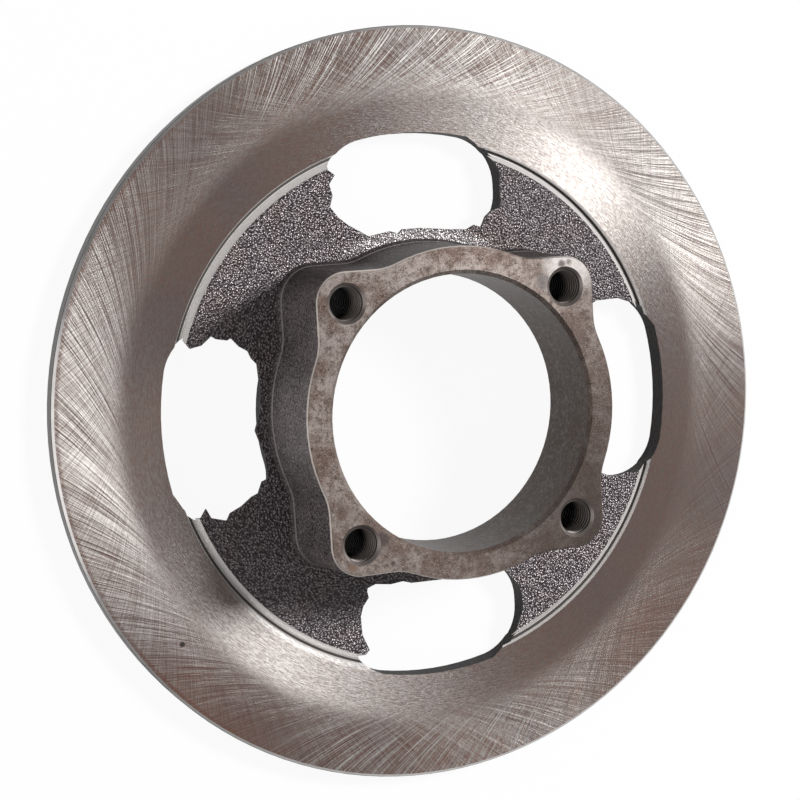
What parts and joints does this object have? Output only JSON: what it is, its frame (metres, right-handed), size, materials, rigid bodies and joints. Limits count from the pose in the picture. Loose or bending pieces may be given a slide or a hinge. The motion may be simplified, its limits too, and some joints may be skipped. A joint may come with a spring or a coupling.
{
  "type": "brake disc",
  "caption": "Solid cast-iron brake disc with a raised lobed hub, a turned bore, tapped bolt holes and windows in its web.",
  "frame": {"origin": "on the disc's axis, in the plane of its rear friction face, on which it lies", "axes": "+Z along the axis, from the rear friction face towards the hub face; +X through the middle of one window, so that the tapped holes lie at 45 degrees to X and Y"},
  "size_m": [0.244, 0.244, 0.038],
  "materials": {
    "cast_iron": "ground faces, sandy cast web"
  },
  "bodies": {
    "root": {"brake_disc": "cast_iron"}
  },
  "joints": []
}
